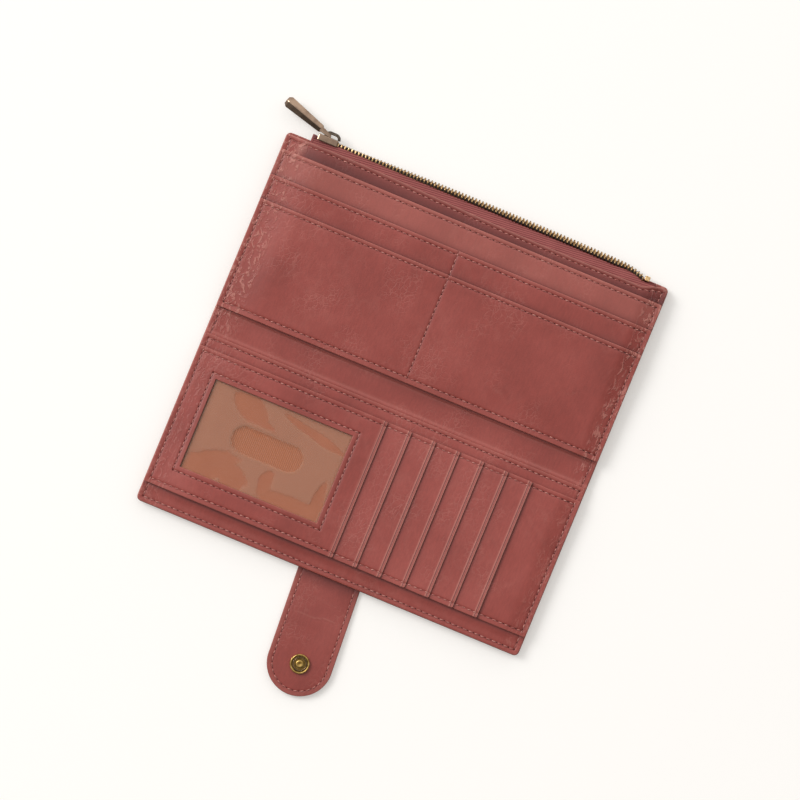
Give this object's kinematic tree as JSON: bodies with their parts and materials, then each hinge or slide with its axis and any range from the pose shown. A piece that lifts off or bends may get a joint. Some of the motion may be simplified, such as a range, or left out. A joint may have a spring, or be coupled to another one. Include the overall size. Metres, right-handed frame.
{
  "type": "continental wallet",
  "caption": "Long leather wallet lying open, with card slots, a window pocket, a zipped coin pocket with a sliding pull, and a wrap-round tab that snaps it shut.",
  "frame": {"origin": "centre of the spine's flat outer face, midway between the two fold lines and midway along the cover", "axes": "the wallet lies open with its inside up: +Z out of the inside, -Z out of the spine's outer face; +Y across the two halves, towards the zipped edge, and the closing tab points to -Y; +X along the spine, from the window pocket to the card slots"},
  "size_m": [0.2003, 0.2598, 0.0101],
  "materials": {
    "leather": "semi-gloss rose leather",
    "lining": "woven lining",
    "board": "fibre board stiffening",
    "tape": "ribbed zip tape",
    "brass": "antique brass",
    "slider": "antique nickel plate",
    "vinyl": "clear flexible vinyl"
  },
  "bodies": {
    "upper_half": {"cover_upper": "leather", "stiffener_upper": "board", "zip_pocket_back_lining": "lining", "zip_tape_back": "tape", "zip_tape_front": "tape", "zip_chain": "brass", "zip_bottom_stop": "brass", "zip_top_stop_back": "brass", "zip_top_stop_front": "brass", "zip_pocket_front_lining": "lining", "zip_front_panel": "leather", "slip_pocket_panel": "leather", "card_slot_strip": "leather", "card_slot_lining": "lining", "card_slot_panel": "leather", "snap_stud": "brass", "snap_eyelet": "brass"},
    "spine": {"cover_spine": "leather", "spine_lining": "leather"},
    "lower_half": {"cover_lower": "leather", "stiffener_lower": "board", "bill_pocket_lining": "lining", "bill_pocket_panel": "leather", "slot_lining": "lining", "slot_base_panel": "leather", "slot_strip_1": "leather", "slot_strip_2": "leather", "slot_strip_3": "leather", "slot_strip_4": "leather", "slot_strip_5": "leather", "slot_strip_6": "leather", "id_frame": "leather", "id_window": "vinyl", "id_backing": "lining", "tab_root_outer": "leather", "tab_root_inner": "leather"},
    "tab_bend": {"tab_bend_outer": "leather", "tab_bend_inner": "leather"},
    "tab_end": {"tab_end_outer": "leather", "tab_end_inner": "leather", "snap_cap": "brass", "snap_socket": "brass"},
    "zip_slider": {"slider_body": "slider", "slider_crown": "slider"},
    "zip_pull": {"pull_tab": "slider"}
  },
  "joints": [
    {"name": "fold_upper", "type": "hinge", "parent": "upper_half", "child": "spine", "pos_m": [0, 0.0054, 0.0021], "axis": [-1, 0, 0], "range_deg": [0, 90]},
    {"name": "fold_lower", "type": "hinge", "parent": "spine", "child": "lower_half", "pos_m": [0, -0.0054, 0.0021], "axis": [-1, 0, 0], "range_deg": [0, 90]},
    {"name": "tab_fold_root", "type": "hinge", "parent": "lower_half", "child": "tab_bend", "pos_m": [0, -0.1013, -0.0002], "axis": [-1, 0, 0], "range_deg": [0, 90]},
    {"name": "tab_fold_end", "type": "hinge", "parent": "tab_bend", "child": "tab_end", "pos_m": [0, -0.1192, 0.0008], "axis": [-1, 0, 0], "range_deg": [0, 90]},
    {"name": "zip_slide", "type": "slide", "parent": "upper_half", "child": "zip_slider", "axis": [1, 0, 0], "range_m": [0, 0.1447], "deforming": ["zip_chain"]},
    {"name": "pull_swing", "type": "hinge", "parent": "zip_slider", "child": "zip_pull", "pos_m": [-0.0778, 0.10025, 0.0035], "axis": [0, 0, -1], "range_deg": [-5, 114.5]}
  ],
  "couplings": [
    {"joint": "fold_lower", "follows": "fold_upper", "ratio": 1},
    {"joint": "tab_fold_end", "follows": "tab_fold_root", "ratio": 1}
  ]
}
